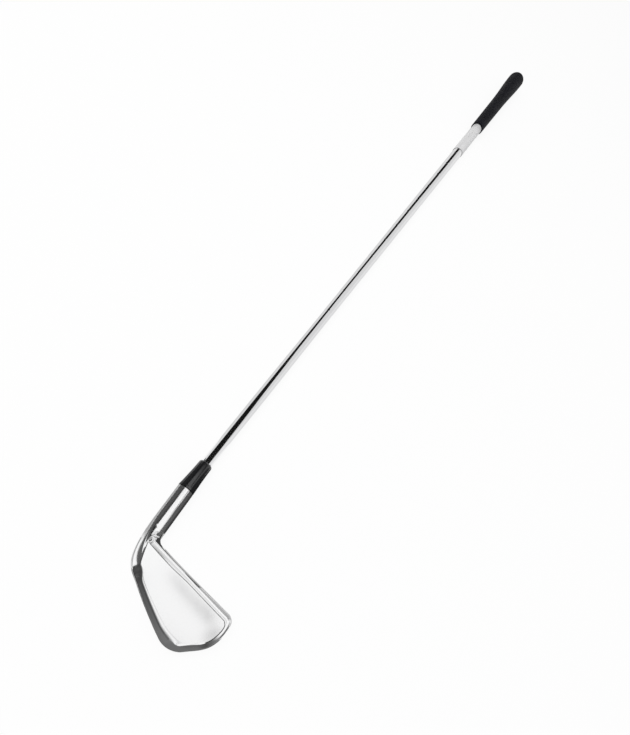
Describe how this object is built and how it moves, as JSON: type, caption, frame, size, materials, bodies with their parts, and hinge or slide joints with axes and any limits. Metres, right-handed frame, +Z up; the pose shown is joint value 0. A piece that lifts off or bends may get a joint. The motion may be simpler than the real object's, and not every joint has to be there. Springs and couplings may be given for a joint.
{
  "type": "golf iron",
  "caption": "right-handed golf iron: forged muscle-back blade with hosel, black ferrule, stepped steel shaft, plain shaft band and tapered rubber grip with a vented butt cap",
  "frame": {"origin": "centre of the bottom of the bounding box, on the surface the club lies on", "axes": "+X runs along the shaft from the clubhead to the butt of the grip, +Z is up, away from the surface, and shows the back of the head; the toe points to -Y"},
  "size_m": [1.0216, 0.098, 0.0266],
  "materials": {
    "head_chrome": "polished",
    "ferrule_plastic": "gloss",
    "shaft_chrome": "mirror polished",
    "brass": "turned",
    "band_film": "satin film",
    "tape_paper": "matte",
    "grip_rubber": "matte",
    "cap_rubber": "matte"
  },
  "bodies": {
    "root": {"clubhead": "head_chrome", "ferrule": "ferrule_plastic", "shaft": "shaft_chrome", "tip_weight": "brass", "shaft_band": "band_film", "grip_tape": "tape_paper", "grip_sleeve": "grip_rubber", "butt_cap": "cap_rubber"}
  },
  "joints": []
}
